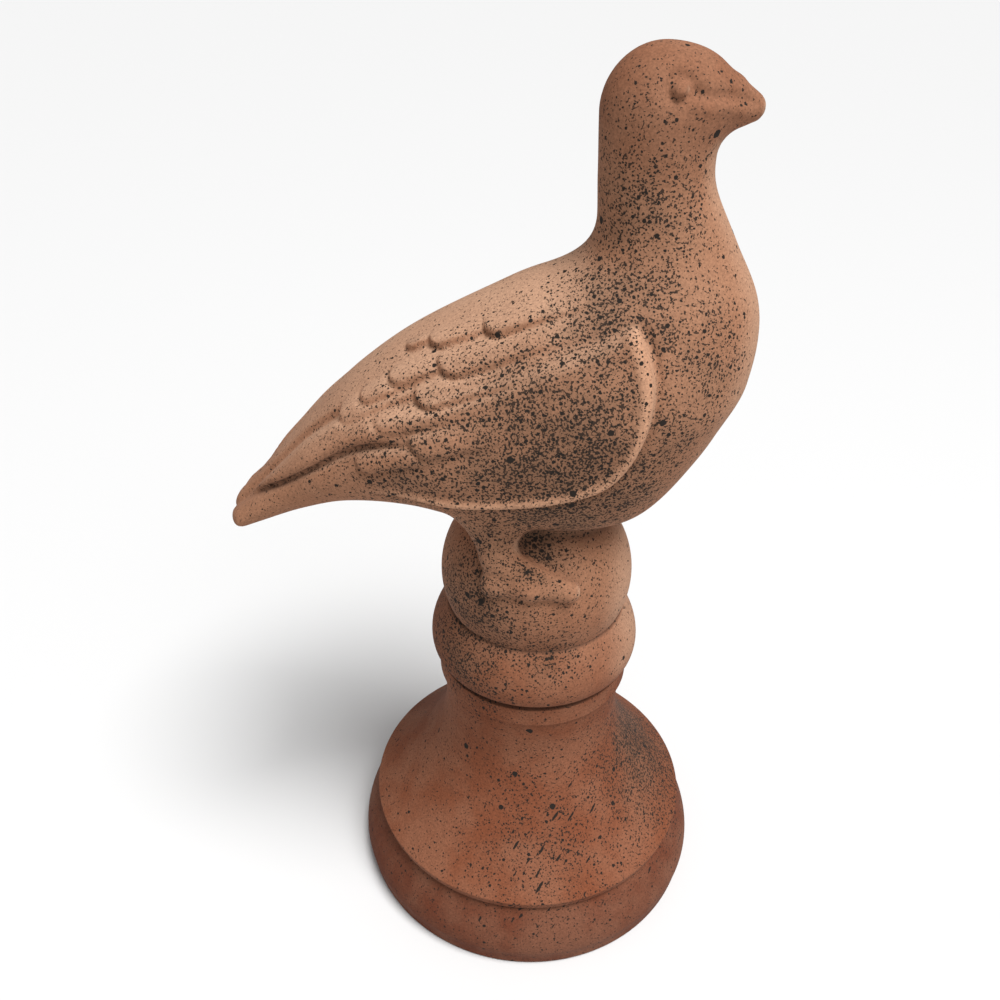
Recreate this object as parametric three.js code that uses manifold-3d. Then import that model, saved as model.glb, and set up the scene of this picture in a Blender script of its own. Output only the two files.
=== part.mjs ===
// A pigeon roof finial: a pigeon perched on a ball above a turned pedestal, moulded as one piece
// of terracotta. Millimetres, +Z up. The bird faces +X and the origin is the centre of the flat
// underside. The two sides of the bird mirror each other in Y, except that the coverts stop
// further down from the back's ridge on the side where y is positive.

import * as THREE from 'three';
import { mergeVertices } from 'three/addons/utils/BufferGeometryUtils.js';
import Module from 'manifold-3d';

const wasm = await Module();
wasm.setup();

// Pedestal: radii and heights of the turned profile, from the underside up
const FOOT_RADIUS = 73.9;
const PLINTH_RADIUS = 75;
const PLINTH_WIDEST_Z = 8.5;
const COVE_RADIUS = 66.2;
const COVE_Z = 27.8;
const RIM_RADIUS = 68.7;
const RIM_INSET = 0.8;
const RIM_Z = 33.6;
const RIM_HEIGHT = 3.2;
const RIM_ROUND = 0.9;
const NECK_RADIUS = 36.2;
const NECK_Z = 90;
const FLARE_POWER = 1.95;
const COLLAR_RADIUS = 38.7;
const COLLAR_Z = 106.6;
const COLLAR_HEIGHT = 8;
const COLLAR_STEP = 1.2;
const GROOVE_RADIUS = 36.8;
const GROOVE_HEIGHT = 2;
const ROLL_RADIUS = 41.8;
const ROLL_LOW_RADIUS = 38.9;
const ROLL_LOW_Z = 117.8;
const ROLL_WIDEST_Z = 124.5;
const ROLL_TOP_RADIUS = 34.8;
const ROLL_TOP_Z = 142.8;

// How finely the pedestal is faceted, and how far its top rises inside the ball
const PEDESTAL_SIDES = 48;
const PLINTH_STEPS = 3;
const COVE_STEPS = 4;
const FLARE_STEPS = 8;
const COLLAR_STEPS = 3;
const ROLL_STEPS = 4;
const TOP_RISE = 4;

// Ball that the pigeon stands on
const BALL_RADIUS = 37.3;
const BALL_Z = 156.1;

// Body: sections square to a line that climbs towards the breast, u along it and v across it
const BODY_X = -20;
const BODY_Z = 228;
const BODY_SLOPE = THREE.MathUtils.degToRad(28);
const BODY_STATIONS = [
  { u: -114, top: 4, bottom: -2.6, half: 14 },
  { u: -95, top: 9.5, bottom: -3.8, half: 18 },
  { u: -75, top: 17.5, bottom: -5.9, half: 22 },
  { u: -56, top: 25, bottom: -9.8, half: 28 },
  { u: -35, top: 31.8, bottom: -22.3, half: 33 },
  { u: -10, top: 36.2, bottom: -45, half: 38 },
  { u: 25, top: 36.9, bottom: -60.4, half: 41 },
  { u: 60, top: 36, bottom: -52.8, half: 42 },
  { u: 97, top: 37, bottom: -42, half: 42 },
];
const TAIL_END = -108;
const TAIL_ROUND = 7;
const BREAST_END = 94.9;
const BREAST_ROUND = 67;

// Neck and head: level sections
const NECK_STATIONS = [
  { z: 240, back: 4, front: 61.6, half: 30 },
  { z: 270, back: 9.8, front: 64.2, half: 25 },
  { z: 290, back: 14.2, front: 58.4, half: 20 },
  { z: 310, back: 13.7, front: 49.4, half: 16.5 },
  { z: 330, back: 12.8, front: 50, half: 16 },
  { z: 349, back: 12.8, front: 50, half: 15.5 },
];
const HEAD_TOP = 348;
const HEAD_ROUND = 20;
const NECK_FOOT = 238;
const NECK_FOOT_ROUND = 10;

// Beak, a tapered rod, and the swelling over its root
const BEAK_ROOT = [40, 0, 332.4];
const BEAK_ROOT_RADIUS = 12.8;
const BEAK_TIP = [57.2, 0, 329.9];
const BEAK_TIP_RADIUS = 4;
const CERE = [50.6, 337.2];
const CERE_RADII = [4.8, 4.2, 3.3];

// Leg on the y side, rods from joint to joint against the ball
const HIP = [-16, 20, 198];
const HIP_RADIUS = 13;
const ANKLE = [-14, 28.2, 182.2];
const ANKLE_RADIUS = 4.6;
const HEEL = [-15.5, 31.4, 171];
const HEEL_RADIUS = 3.6;
const ARCH = [-1.5, 34.9, 171];
const ARCH_RADIUS = 3.5;
const TOE_TIP = [12, 33.6, 170.8];
const TOE_RADIUS = 3.1;

// How wide the fillets between the forms are
const NECK_FILLET = 15;
const BEAK_FILLET = 5;
const CERE_FILLET = 1.4;
const THIGH_FILLET = 6;
const FOOT_FILLET = 4;
const SOLE_FILLET = 1;
const BALL_FILLET = 4;

// Relief on each flank, by u and by the turn in degrees down from the ridge of the back. A pair
// of numbers is where something begins and where it is whole.
const FLANK_DEPTH = [3, 7];
const NECK_CLEAR = [-2, 3];
const WING_FRONT = 63;
const WING_LOW = 105;
const WING_CORNER = 32;
const WING_TOP = [48, 58];
const WING_BACK = [-50, -15];
const WING_RAISED = 2.1;
const LIP_RAISED = 2;
const LIP_HALF = 2.8;
const LIP_HALF_LOW = 1.9;
const LIP_NARROWS = [80, 105];
const LIP_CREASE = 0.9;
const CREASE_HALF = 1.2;

// Covert feathers, the undermost first, each by its rounded tip
const FEATHERS = [
  { u: -40, turn: 74, half: 4.6, lean: -5, length: 26 },
  { u: -18, turn: 67, half: 5.2, lean: 0, length: 22 },
  { u: -27, turn: 51.5, half: 5, lean: 4, length: 20 },
  { u: -41, turn: 33, half: 5.6, lean: 4, length: 22 },
  { u: -11, turn: 45, half: 5.6, lean: 2, length: 24 },
  { u: -31, turn: 31, half: 4.6, lean: 2, length: 16 },
  { u: -18.5, turn: 29, half: 5.4, lean: 2, length: 20 },
  { u: 0, turn: 34, half: 6.4, lean: 3, length: 26 },
  { u: -11, turn: 12.5, half: 4.2, lean: 2, length: 14 },
  { u: -1.5, turn: 18, half: 5.4, lean: 5, length: 18 },
  { u: 18, turn: 25, half: 5.4, lean: 2, length: 20 },
];
const FEATHER_RAISED = 2.1;
const FEATHER_CREASE = 0.6;
const RIDGE_CLEAR = [8, 20];
const FAR_SIDE_CLEAR = [35, 60];

// The long feather of the tail: the turns of its upper and lower edge along the body
const TAIL_STATIONS = [
  { u: -106, upper: 19, lower: 25 },
  { u: -98, upper: 21, lower: 29 },
  { u: -86, upper: 24, lower: 43 },
  { u: -75, upper: 26, lower: 56 },
  { u: -60, upper: 27, lower: 62 },
  { u: -44, upper: 32, lower: 61 },
  { u: -30, upper: 34, lower: 63 },
  { u: -16, upper: 36, lower: 68 },
];
const TAIL_BEGINS = [-110, -100];
const TAIL_ENDS = [-32, -14];
const TAIL_SLIM = [-104, -80];
const TAIL_RAISED = 2.6;
const TAIL_SLOPE = 6;
const UPPER_GROOVE_ENDS = [-46, -38];
const GROOVE_DEPTH = 2;
const GROOVE_HALF = 1.9;
const EDGE_SOFT = 1;

// Eye, the groove from it to the beak and the ridge below that groove, seen from the side
const EYE = [34.5, 338.4];
const EYE_RADIUS = 2.9;
const EYE_FLATTENED = 1.2;
const EYE_RAISED = 1.9;
const EYE_CROWN = 0.7;
const ORBIT_DEPTH = 1;
const ORBIT_HALF = 1.2;
const HOLLOW_DEPTH = 0.6;
const HOLLOW_HALF = 4;
const MOUTH = [[39, 336.6], [44, 335.6], [49, 335.2], [53, 333.9], [57, 332.6]];
const MOUTH_DEPTH = 1.2;
const MOUTH_HALF = 1.5;
const CHEEK = [[40, 333], [48, 332.2], [54, 330.6]];
const CHEEK_RAISED = 0.5;
const CHEEK_HALF = 1.6;
const FACE_LOW = 318;
const FACE_SIDE = [1, 3];

// Grid that the bird is first faceted on, and how many triangles it keeps
const CELL = 1.6;
const GRID_LOW = [-128, -50, 112];
const GRID_HIGH = [76, 50, 354];
const BIRD_TRIANGLES = 6600;

// Moving points onto the surface
const SLOPE_STEP = 0.05;
const SETTLE_PASSES = 4;
const SETTLE_REACH = 1;
const SLOPE_FLOOR = 0.05;

// Merging points: pull towards the middle, cost of straying from it, share merged in one go, and
// the smallest face, turn and distance that a merge may leave
const MIDDLE_PULL = 1e-3;
const STRAY_COST = 1e-4;
const BATCH_SHARE = 1 / 12;
const SMALLEST_FACE = 0.1;
const SHARPEST_TURN = 0.3;
const CLOSEST = 0.4;

const WELD = 1e-4;
const TWIN_DRAW = 0.15;
const TINY = 1e-9;

const CLAY = { color: 0xa9714f, roughness: 0.92, metalness: 0 };

const { clamp, lerp: mix, smoothstep: smooth } = THREE.MathUtils;
const bump = (distance, half) => Math.exp(-((distance / half) ** 2));
const quarter = (t) => Math.cos(t * Math.PI / 2);

// Value of one named dimension between stations, on a smooth curve through all of them
function between(stations, along, name, t) {
  let i = 0;
  while (i < stations.length - 2 && t > stations[i + 1][along]) i += 1;
  const here = stations[i];
  const next = stations[i + 1];
  const before = stations[Math.max(i - 1, 0)];
  const after = stations[Math.min(i + 2, stations.length - 1)];
  const span = next[along] - here[along];
  const s = clamp((t - here[along]) / span, 0, 1);
  const slopeHere = (next[name] - before[name]) / (next[along] - before[along]) * span;
  const slopeNext = (after[name] - here[name]) / (after[along] - here[along]) * span;
  const s2 = s * s;
  const s3 = s2 * s;
  return (2 * s3 - 3 * s2 + 1) * here[name] + (s3 - 2 * s2 + s) * slopeHere
    + (3 * s2 - 2 * s3) * next[name] + (s3 - s2) * slopeNext;
}

// Signed distance, near enough, to an ellipsoid from the offsets to its centre and its radii
function ellipsoid(dx, dy, dz, rx, ry, rz) {
  const k0 = Math.hypot(dx / rx, dy / ry, dz / rz);
  const k1 = Math.hypot(dx / (rx * rx), dy / (ry * ry), dz / (rz * rz));
  return k1 > TINY ? k0 * (k0 - 1) / k1 : -Math.min(rx, ry, rz);
}

// Two signed distances joined with a fillet about as wide as k
function blend(a, b, k) {
  const h = Math.max(k - Math.abs(a - b), 0) / k;
  return Math.min(a, b) - h * h * k / 4;
}

// Signed distance to a ball-ended rod that tapers from radius r0 to r1
function rod(x, y, z, from, to, r0, r1) {
  const axis = to.map((value, i) => value - from[i]);
  const length = Math.hypot(...axis);
  const px = x - from[0];
  const py = y - from[1];
  const pz = z - from[2];
  const along = (px * axis[0] + py * axis[1] + pz * axis[2]) / length;
  const away = Math.sqrt(Math.max(px * px + py * py + pz * pz - along * along, 0));
  const taper = (r0 - r1) / length;
  const nearest = clamp(along - away * taper / Math.sqrt(1 - taper * taper), 0, length);
  return Math.hypot(along - nearest, away) - (r0 - taper * nearest);
}

// Distance from a point to a line through a few corners
function lineDistance(corners, px, py) {
  let nearest = Infinity;
  for (let i = 0; i < corners.length - 1; i += 1) {
    const [ax, ay] = corners[i];
    const bx = corners[i + 1][0] - ax;
    const by = corners[i + 1][1] - ay;
    const t = clamp(((px - ax) * bx + (py - ay) * by) / (bx * bx + by * by), 0, 1);
    nearest = Math.min(nearest, Math.hypot(px - ax - bx * t, py - ay - by * t));
  }
  return nearest;
}

// Where a point lies along the body, with the size of the section there
function bodySection(x, z) {
  const dx = x - BODY_X;
  const dz = z - BODY_Z;
  const u = dx * Math.cos(BODY_SLOPE) + dz * Math.sin(BODY_SLOPE);
  const v = dz * Math.cos(BODY_SLOPE) - dx * Math.sin(BODY_SLOPE);
  const inside = clamp(u, TAIL_END, BREAST_END);
  const top = between(BODY_STATIONS, 'u', 'top', inside);
  const bottom = between(BODY_STATIONS, 'u', 'bottom', inside);
  const half = between(BODY_STATIONS, 'u', 'half', inside);
  return { u, v: v - (top + bottom) / 2, half, tall: (top - bottom) / 2 };
}

function bodyDistance(y, { u, v, half, tall }) {
  const tailCap = Math.min(u - (TAIL_END + TAIL_ROUND), 0);
  const breastCap = Math.max(u - (BREAST_END - BREAST_ROUND), 0);
  const cap = tailCap < 0 ? tailCap : breastCap;
  const capLength = tailCap < 0 ? TAIL_ROUND : BREAST_ROUND;
  return ellipsoid(cap, y, v, capLength, half, tall);
}

function neckDistance(x, y, z) {
  const inside = clamp(z, NECK_FOOT, HEAD_TOP);
  const back = between(NECK_STATIONS, 'z', 'back', inside);
  const front = between(NECK_STATIONS, 'z', 'front', inside);
  const half = between(NECK_STATIONS, 'z', 'half', inside);
  const footCap = Math.min(z - (NECK_FOOT + NECK_FOOT_ROUND), 0);
  const headCap = Math.max(z - (HEAD_TOP - HEAD_ROUND), 0);
  const cap = footCap < 0 ? footCap : headCap;
  const capLength = footCap < 0 ? NECK_FOOT_ROUND : HEAD_ROUND;
  return ellipsoid(x - (back + front) / 2, y, cap, (front - back) / 2, half, capLength);
}

// The foot as a solid wedge: rods that fan out from the ankle, and a sole that follows the ball
function footDistance(x, y, z) {
  const shank = rod(x, y, z, ANKLE, HEEL, ANKLE_RADIUS, HEEL_RADIUS);
  const arch = rod(x, y, z, ANKLE, ARCH, ANKLE_RADIUS, ARCH_RADIUS);
  const instep = rod(x, y, z, ANKLE, TOE_TIP, ANKLE_RADIUS, TOE_RADIUS);
  const heelSole = rod(x, y, z, HEEL, ARCH, HEEL_RADIUS, ARCH_RADIUS);
  const toeSole = rod(x, y, z, ARCH, TOE_TIP, ARCH_RADIUS, TOE_RADIUS);
  const fan = blend(blend(shank, arch, FOOT_FILLET), instep, FOOT_FILLET);
  return blend(fan, Math.min(heelSole, toeSole), FOOT_FILLET);
}

// Height of the folded wing: a plate with a rounded lip along its front and lower edge
function wingHeight(u, turn, arc) {
  const front = WING_CORNER - (WING_FRONT - u);
  const low = WING_CORNER - (WING_LOW - turn) * arc;
  const edge = Math.hypot(Math.max(front, 0), Math.max(low, 0)) - WING_CORNER
    + Math.min(Math.max(front, low), 0);
  const fade = smooth(turn, ...WING_TOP) * smooth(u, ...WING_BACK);
  const lipHalf = mix(LIP_HALF, LIP_HALF_LOW, smooth(turn, ...LIP_NARROWS));
  const plate = WING_RAISED * smooth(-edge, -EDGE_SOFT, EDGE_SOFT);
  const lip = LIP_RAISED * bump(edge + lipHalf, lipHalf);
  const crease = LIP_CREASE * bump(edge - EDGE_SOFT - 1, CREASE_HALF);
  return (plate + lip - crease) * fade;
}

// One covert over those laid before: tucked in above, standing out at its tip and lower edge
function layFeather(height, feather, u, turn, arc) {
  const { half } = feather;
  const lean = THREE.MathUtils.degToRad(feather.lean);
  const du = u - feather.u;
  const ds = (turn - feather.turn) * arc;
  const along = du * Math.cos(lean) + ds * Math.sin(lean);
  const across = ds * Math.cos(lean) - du * Math.sin(lean);
  const edge = Math.hypot(Math.min(along - half, 0), across) - half;
  const cover = smooth(-edge, -EDGE_SOFT, EDGE_SOFT);
  const lifted = smooth(across, -half, half / 2) * bump(Math.max(along, 0), feather.length);
  const crease = FEATHER_CREASE * bump(edge - 1, 1) * (1 - cover);
  return height + (FEATHER_RAISED - height) * cover * lifted - crease * lifted;
}

// The long feather that runs down to the tail, with a groove along both its edges
function tailHeight(u, turn, arc) {
  const belowUpper = (turn - between(TAIL_STATIONS, 'u', 'upper', u)) * arc;
  const belowLower = (turn - between(TAIL_STATIONS, 'u', 'lower', u)) * arc;
  const fade = smooth(u, ...TAIL_BEGINS) * (1 - smooth(u, ...TAIL_ENDS));
  const raised = smooth(belowUpper, 0, TAIL_SLOPE) * smooth(-belowLower, -EDGE_SOFT, EDGE_SOFT);
  const upperGroove = bump(belowUpper, GROOVE_HALF) * (1 - smooth(u, ...UPPER_GROOVE_ENDS));
  const lowerGroove = bump(belowLower - GROOVE_HALF / 2, GROOVE_HALF);
  const slim = smooth(u, ...TAIL_SLIM);
  return fade * (TAIL_RAISED * raised * slim - GROOVE_DEPTH * (upperGroove + lowerGroove));
}

// Height of the carving; the coverts stop short of the ridge, further down on the far side
function flankRelief(u, turn, arc, farSide) {
  const tail = tailHeight(u, turn, arc);
  const coverts = FEATHERS.reduce((height, feather) => layFeather(height, feather, u, turn, arc), tail);
  const shown = smooth(turn, ...(farSide ? FAR_SIDE_CLEAR : RIDGE_CLEAR));
  return mix(tail, coverts, shown) + wingHeight(u, turn, arc);
}

function faceRelief(x, z) {
  const r = Math.hypot(x - EYE[0], (z - EYE[1]) * EYE_FLATTENED);
  const eye = EYE_RAISED * Math.max(1 - (r / EYE_RADIUS) ** 2, 0) ** EYE_CROWN;
  const orbit = ORBIT_DEPTH * bump(r - EYE_RADIUS - ORBIT_HALF, ORBIT_HALF);
  const hollow = HOLLOW_DEPTH * bump(r - EYE_RADIUS, HOLLOW_HALF);
  const cheek = CHEEK_RAISED * bump(lineDistance(CHEEK, x, z), CHEEK_HALF);
  const mouth = MOUTH_DEPTH * bump(lineDistance(MOUTH, x, z), MOUTH_HALF);
  return eye - orbit - hollow + cheek - mouth;
}

// Body and neck as one form, with the carving on its flanks
function carvedBody(x, y, z, farSide) {
  const section = bodySection(x, z);
  const neck = neckDistance(x, y, z);
  const body = bodyDistance(y, section);
  const plain = blend(body, neck, NECK_FILLET);
  const onFlank = (1 - smooth(Math.abs(body), ...FLANK_DEPTH)) * smooth(neck, ...NECK_CLEAR);
  if (onFlank === 0) return plain;
  const { u, v, half, tall } = section;
  const turn = THREE.MathUtils.radToDeg(Math.atan2(y / half, v / tall));
  const arc = THREE.MathUtils.degToRad((half + tall) / 2);
  return plain - flankRelief(u, turn, arc, farSide) * onFlank;
}

// Signed distance, near enough, to the pigeon and its ball
function birdDistance(x, ySigned, z) {
  const y = Math.abs(ySigned);
  const beak = rod(x, y, z, BEAK_ROOT, BEAK_TIP, BEAK_ROOT_RADIUS, BEAK_TIP_RADIUS);
  const cere = ellipsoid(x - CERE[0], y, z - CERE[1], ...CERE_RADII);
  const thigh = rod(x, y, z, HIP, ANKLE, HIP_RADIUS, ANKLE_RADIUS);
  const ball = Math.hypot(x, y, z - BALL_Z) - BALL_RADIUS;
  let bird = blend(carvedBody(x, y, z, ySigned > 0), beak, BEAK_FILLET);
  bird = blend(bird, cere, CERE_FILLET);
  if (z > FACE_LOW) bird -= faceRelief(x, z) * smooth(y, ...FACE_SIDE);
  bird = blend(bird, thigh, THIGH_FILLET);
  return blend(bird, blend(ball, footDistance(x, y, z), SOLE_FILLET), BALL_FILLET);
}

// The field's values at the corners of a grid of cells
function sampleGrid(field) {
  const count = GRID_LOW.map((low, axis) => Math.ceil((GRID_HIGH[axis] - low) / CELL) + 1);
  const [nx, ny, nz] = count;
  const values = new Float64Array(nx * ny * nz);
  const at = (i, j, k) => (i * ny + j) * nz + k;
  for (let i = 0; i < nx; i += 1) {
    for (let j = 0; j < ny; j += 1) {
      for (let k = 0; k < nz; k += 1) {
        values[at(i, j, k)] = field(...[i, j, k].map((index, axis) => GRID_LOW[axis] + index * CELL));
      }
    }
  }
  return { count, values, at };
}

// The middle of the places where the surface crosses the twelve edges of one cell, if it does
function crossingPoint({ values, at }, i, j, k) {
  const sum = [0, 0, 0];
  let crossings = 0;
  for (let axis = 0; axis < 3; axis += 1) {
    for (let side = 0; side < 4; side += 1) {
      const offset = [0, 0, 0];
      offset[(axis + 1) % 3] = side & 1;
      offset[(axis + 2) % 3] = side >> 1;
      const end = [...offset];
      end[axis] = 1;
      const a = values[at(i + offset[0], j + offset[1], k + offset[2])];
      const b = values[at(i + end[0], j + end[1], k + end[2])];
      if ((a < 0) !== (b < 0)) {
        offset[axis] = a / (a - b);
        offset.forEach((value, c) => { sum[c] += value; });
        crossings += 1;
      }
    }
  }
  if (crossings === 0) return null;
  return [i, j, k].map((index, c) => GRID_LOW[c] + (index + sum[c] / crossings) * CELL);
}

// Smooth surface where the field is zero, as a closed mesh of one point in each crossed cell
function skin(field) {
  const grid = sampleGrid(field);
  const { values, at } = grid;
  const [nx, ny, nz] = grid.count;
  const pointOf = new Map();
  const points = [];
  for (let i = 0; i < nx - 1; i += 1) {
    for (let j = 0; j < ny - 1; j += 1) {
      for (let k = 0; k < nz - 1; k += 1) {
        const point = crossingPoint(grid, i, j, k);
        if (point) {
          pointOf.set(at(i, j, k), points.length);
          points.push(point);
        }
      }
    }
  }
  const faces = [];
  for (let i = 1; i < nx - 1; i += 1) {
    for (let j = 1; j < ny - 1; j += 1) {
      for (let k = 1; k < nz - 1; k += 1) {
        const start = values[at(i, j, k)];
        const ends = [at(i + 1, j, k), at(i, j + 1, k), at(i, j, k + 1)];
        const around = [
          [at(i, j - 1, k - 1), at(i, j, k - 1), at(i, j, k), at(i, j - 1, k)],
          [at(i - 1, j, k - 1), at(i - 1, j, k), at(i, j, k), at(i, j, k - 1)],
          [at(i - 1, j - 1, k), at(i, j - 1, k), at(i, j, k), at(i - 1, j, k)],
        ];
        for (let axis = 0; axis < 3; axis += 1) {
          if ((start < 0) !== (values[ends[axis]] < 0)) {
            const quad = around[axis].map((cellIndex) => pointOf.get(cellIndex));
            if (start >= 0) quad.reverse();
            faces.push([quad[0], quad[1], quad[2]], [quad[0], quad[2], quad[3]]);
          }
        }
      }
    }
  }
  points.forEach((point) => settle(field, point));
  return { points, faces };
}

// Moves a point along the field's slope onto the surface
function settle(field, point) {
  const step = SLOPE_STEP;
  for (let pass = 0; pass < SETTLE_PASSES; pass += 1) {
    const [x, y, z] = point;
    const slope = [
      (field(x + step, y, z) - field(x - step, y, z)) / (2 * step),
      (field(x, y + step, z) - field(x, y - step, z)) / (2 * step),
      (field(x, y, z + step) - field(x, y, z - step)) / (2 * step),
    ];
    const steepness = Math.max(Math.hypot(...slope) ** 2, SLOPE_FLOOR);
    const move = clamp(field(x, y, z) / steepness, -SETTLE_REACH, SETTLE_REACH);
    slope.forEach((value, axis) => { point[axis] -= move * value; });
  }
}

// Adds one plane's squared distance, as the ten terms of a symmetric matrix
function addPlane(terms, a, b, c, d, weight) {
  [a * a, a * b, a * c, a * d, b * b, b * c, b * d, c * c, c * d, d * d].forEach((value, i) => {
    terms[i] += value * weight;
  });
}

// Best place for the point that two merged points become, and what the merge costs the shape
function mergePlan(points, terms, a, b) {
  const q = terms[a].map((value, i) => value + terms[b][i]);
  const first = new THREE.Vector3(...points[a]);
  const middle = new THREE.Vector3(...points[b]).add(first).multiplyScalar(0.5);
  const hold = MIDDLE_PULL * (q[0] + q[4] + q[7]);
  const solve = new THREE.Matrix3().set(
    q[0] + hold, q[1], q[2],
    q[1], q[4] + hold, q[5],
    q[2], q[5], q[7] + hold,
  ).invert();
  const place = new THREE.Vector3(-q[3], -q[6], -q[8]).addScaledVector(middle, hold).applyMatrix3(solve);
  if (place.distanceTo(middle) > middle.distanceTo(first)) place.copy(middle);
  const { x, y, z } = place;
  const bend = q[0] * x * x + q[4] * y * y + q[7] * z * z + q[9]
    + 2 * (q[1] * x * y + q[2] * x * z + q[5] * y * z + q[3] * x + q[6] * y + q[8] * z);
  return { place: [x, y, z], cost: bend + STRAY_COST * middle.distanceToSquared(place) };
}

// Square to a triangle, as long as twice its area
function faceNormal(p0, p1, p2) {
  const start = new THREE.Vector3(...p0);
  const sideA = new THREE.Vector3(...p1).sub(start);
  const sideB = new THREE.Vector3(...p2).sub(start);
  return sideA.cross(sideB);
}

// The planes that meet in each point, and the faces around it
function surroundings(points, faces) {
  const terms = points.map(() => new Array(10).fill(0));
  const facesOf = points.map(() => new Set());
  faces.forEach((face, index) => {
    const normal = faceNormal(...face.map((p) => points[p]));
    const area = normal.length() / 2;
    normal.normalize();
    const offset = -normal.dot(new THREE.Vector3(...points[face[0]]));
    face.forEach((p) => {
      addPlane(terms[p], normal.x, normal.y, normal.z, offset, area);
      facesOf[p].add(index);
    });
  });
  return { terms, facesOf };
}

// Merges points, the ones that matter least to the shape first, until few enough triangles are left
function thinOut({ points, faces }, target) {
  const { terms, facesOf } = surroundings(points, faces);
  const alive = faces.map(() => true);
  const version = points.map(() => 0);
  const neighbours = (p) => {
    const found = new Set();
    facesOf[p].forEach((index) => faces[index].forEach((other) => found.add(other)));
    found.delete(p);
    return found;
  };
  let queue = [];
  const consider = (a, b) => {
    const plan = mergePlan(points, terms, a, b);
    queue.push({ a, b, plan, stamp: version[a] + version[b] });
  };
  points.forEach((_, p) => neighbours(p).forEach((other) => { if (other > p) consider(p, other); }));
  let left = faces.length;
  while (left > target) {
    queue.sort((first, second) => first.plan.cost - second.plan.cost);
    const limit = queue[Math.floor(queue.length * BATCH_SHARE)].plan.cost;
    const batch = queue.filter((entry) => entry.plan.cost <= limit);
    queue = queue.filter((entry) => entry.plan.cost > limit);
    batch.forEach(({ a, b, plan, stamp }) => {
      if (left <= target || version[a] + version[b] !== stamp) return;
      const shared = [...facesOf[a]].filter((index) => facesOf[b].has(index));
      const aroundA = neighbours(a);
      const common = [...neighbours(b)].filter((p) => aroundA.has(p));
      if (shared.length !== 2 || common.length !== 2) return;
      const kept = [...facesOf[a], ...facesOf[b]].filter((index) => !shared.includes(index));
      const flips = kept.some((index) => {
        const before = faceNormal(...faces[index].map((p) => points[p]));
        const moved = faces[index].map((p) => (p === a || p === b ? plan.place : points[p]));
        const after = faceNormal(...moved);
        const turned = before.dot(after) < SHARPEST_TURN * before.length() * after.length();
        return turned || after.length() < SMALLEST_FACE;
      });
      const spot = new THREE.Vector3(...plan.place);
      const ring = [...aroundA, ...neighbours(b)].filter((p) => p !== a && p !== b);
      const crowded = ring.some((p) => spot.distanceTo(new THREE.Vector3(...points[p])) < CLOSEST);
      if (flips || crowded) return;
      shared.forEach((index) => {
        alive[index] = false;
        faces[index].forEach((p) => facesOf[p].delete(index));
      });
      left -= 2;
      facesOf[b].forEach((index) => {
        faces[index] = faces[index].map((p) => (p === b ? a : p));
        facesOf[a].add(index);
      });
      facesOf[b].clear();
      points[a] = plan.place;
      terms[a] = terms[a].map((value, i) => value + terms[b][i]);
      version[a] += 1;
      version[b] = Infinity;
      neighbours(a).forEach((p) => {
        version[p] += 1;
      });
      neighbours(a).forEach((p) => neighbours(p).forEach((other) => consider(p, other)));
    });
  }
  return faces.filter((_, index) => alive[index]);
}

// The pigeon and its ball as one closed faceted form
function birdGeometry() {
  const surface = skin(birdDistance);
  const kept = thinOut(surface, BIRD_TRIANGLES);
  const geometry = new THREE.BufferGeometry();
  geometry.setAttribute('position', new THREE.Float32BufferAttribute(surface.points.flat(), 3));
  geometry.setIndex(kept.flat());
  return geometry;
}

// Adds the points of one curved stretch of the profile, r and z worked out from t in 0 to 1
function stretch(profile, steps, radiusAt, heightAt) {
  for (let i = 1; i <= steps; i += 1) {
    profile.push(new THREE.Vector2(radiusAt(i / steps), heightAt(i / steps)));
  }
}

// The turned outline, from the middle of the underside up to a point inside the ball
function pedestalProfile() {
  const profile = [new THREE.Vector2(0, 0), new THREE.Vector2(FOOT_RADIUS, 0)];
  stretch(profile, PLINTH_STEPS, (t) => mix(PLINTH_RADIUS, FOOT_RADIUS, quarter(t)),
    (t) => mix(0, PLINTH_WIDEST_Z, t));
  stretch(profile, COVE_STEPS, (t) => mix(COVE_RADIUS, PLINTH_RADIUS, quarter(t)),
    (t) => mix(PLINTH_WIDEST_Z, COVE_Z, t));
  profile.push(new THREE.Vector2(RIM_RADIUS - RIM_INSET, RIM_Z - RIM_HEIGHT));
  profile.push(new THREE.Vector2(RIM_RADIUS, RIM_Z));
  stretch(profile, FLARE_STEPS, (t) => mix(NECK_RADIUS, RIM_RADIUS - RIM_ROUND, (1 - t) ** FLARE_POWER),
    (t) => mix(RIM_Z + RIM_ROUND, NECK_Z, t));
  stretch(profile, COLLAR_STEPS, (t) => mix(NECK_RADIUS, COLLAR_RADIUS - COLLAR_STEP, 1 - quarter(t)),
    (t) => mix(NECK_Z, COLLAR_Z, t));
  profile.push(new THREE.Vector2(COLLAR_RADIUS, COLLAR_Z));
  profile.push(new THREE.Vector2(COLLAR_RADIUS, COLLAR_Z + COLLAR_HEIGHT));
  profile.push(new THREE.Vector2(GROOVE_RADIUS, ROLL_LOW_Z - GROOVE_HEIGHT));
  profile.push(new THREE.Vector2(GROOVE_RADIUS, ROLL_LOW_Z));
  profile.push(new THREE.Vector2(ROLL_LOW_RADIUS, ROLL_LOW_Z));
  stretch(profile, ROLL_STEPS, (t) => mix(ROLL_LOW_RADIUS, ROLL_RADIUS, quarter(1 - t)),
    (t) => mix(ROLL_WIDEST_Z, ROLL_LOW_Z, quarter(t)));
  stretch(profile, ROLL_STEPS, (t) => mix(ROLL_TOP_RADIUS, ROLL_RADIUS, quarter(t)),
    (t) => mix(ROLL_WIDEST_Z, ROLL_TOP_Z, t));
  profile.push(new THREE.Vector2(0, ROLL_TOP_Z + TOP_RISE));
  return profile;
}

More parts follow.
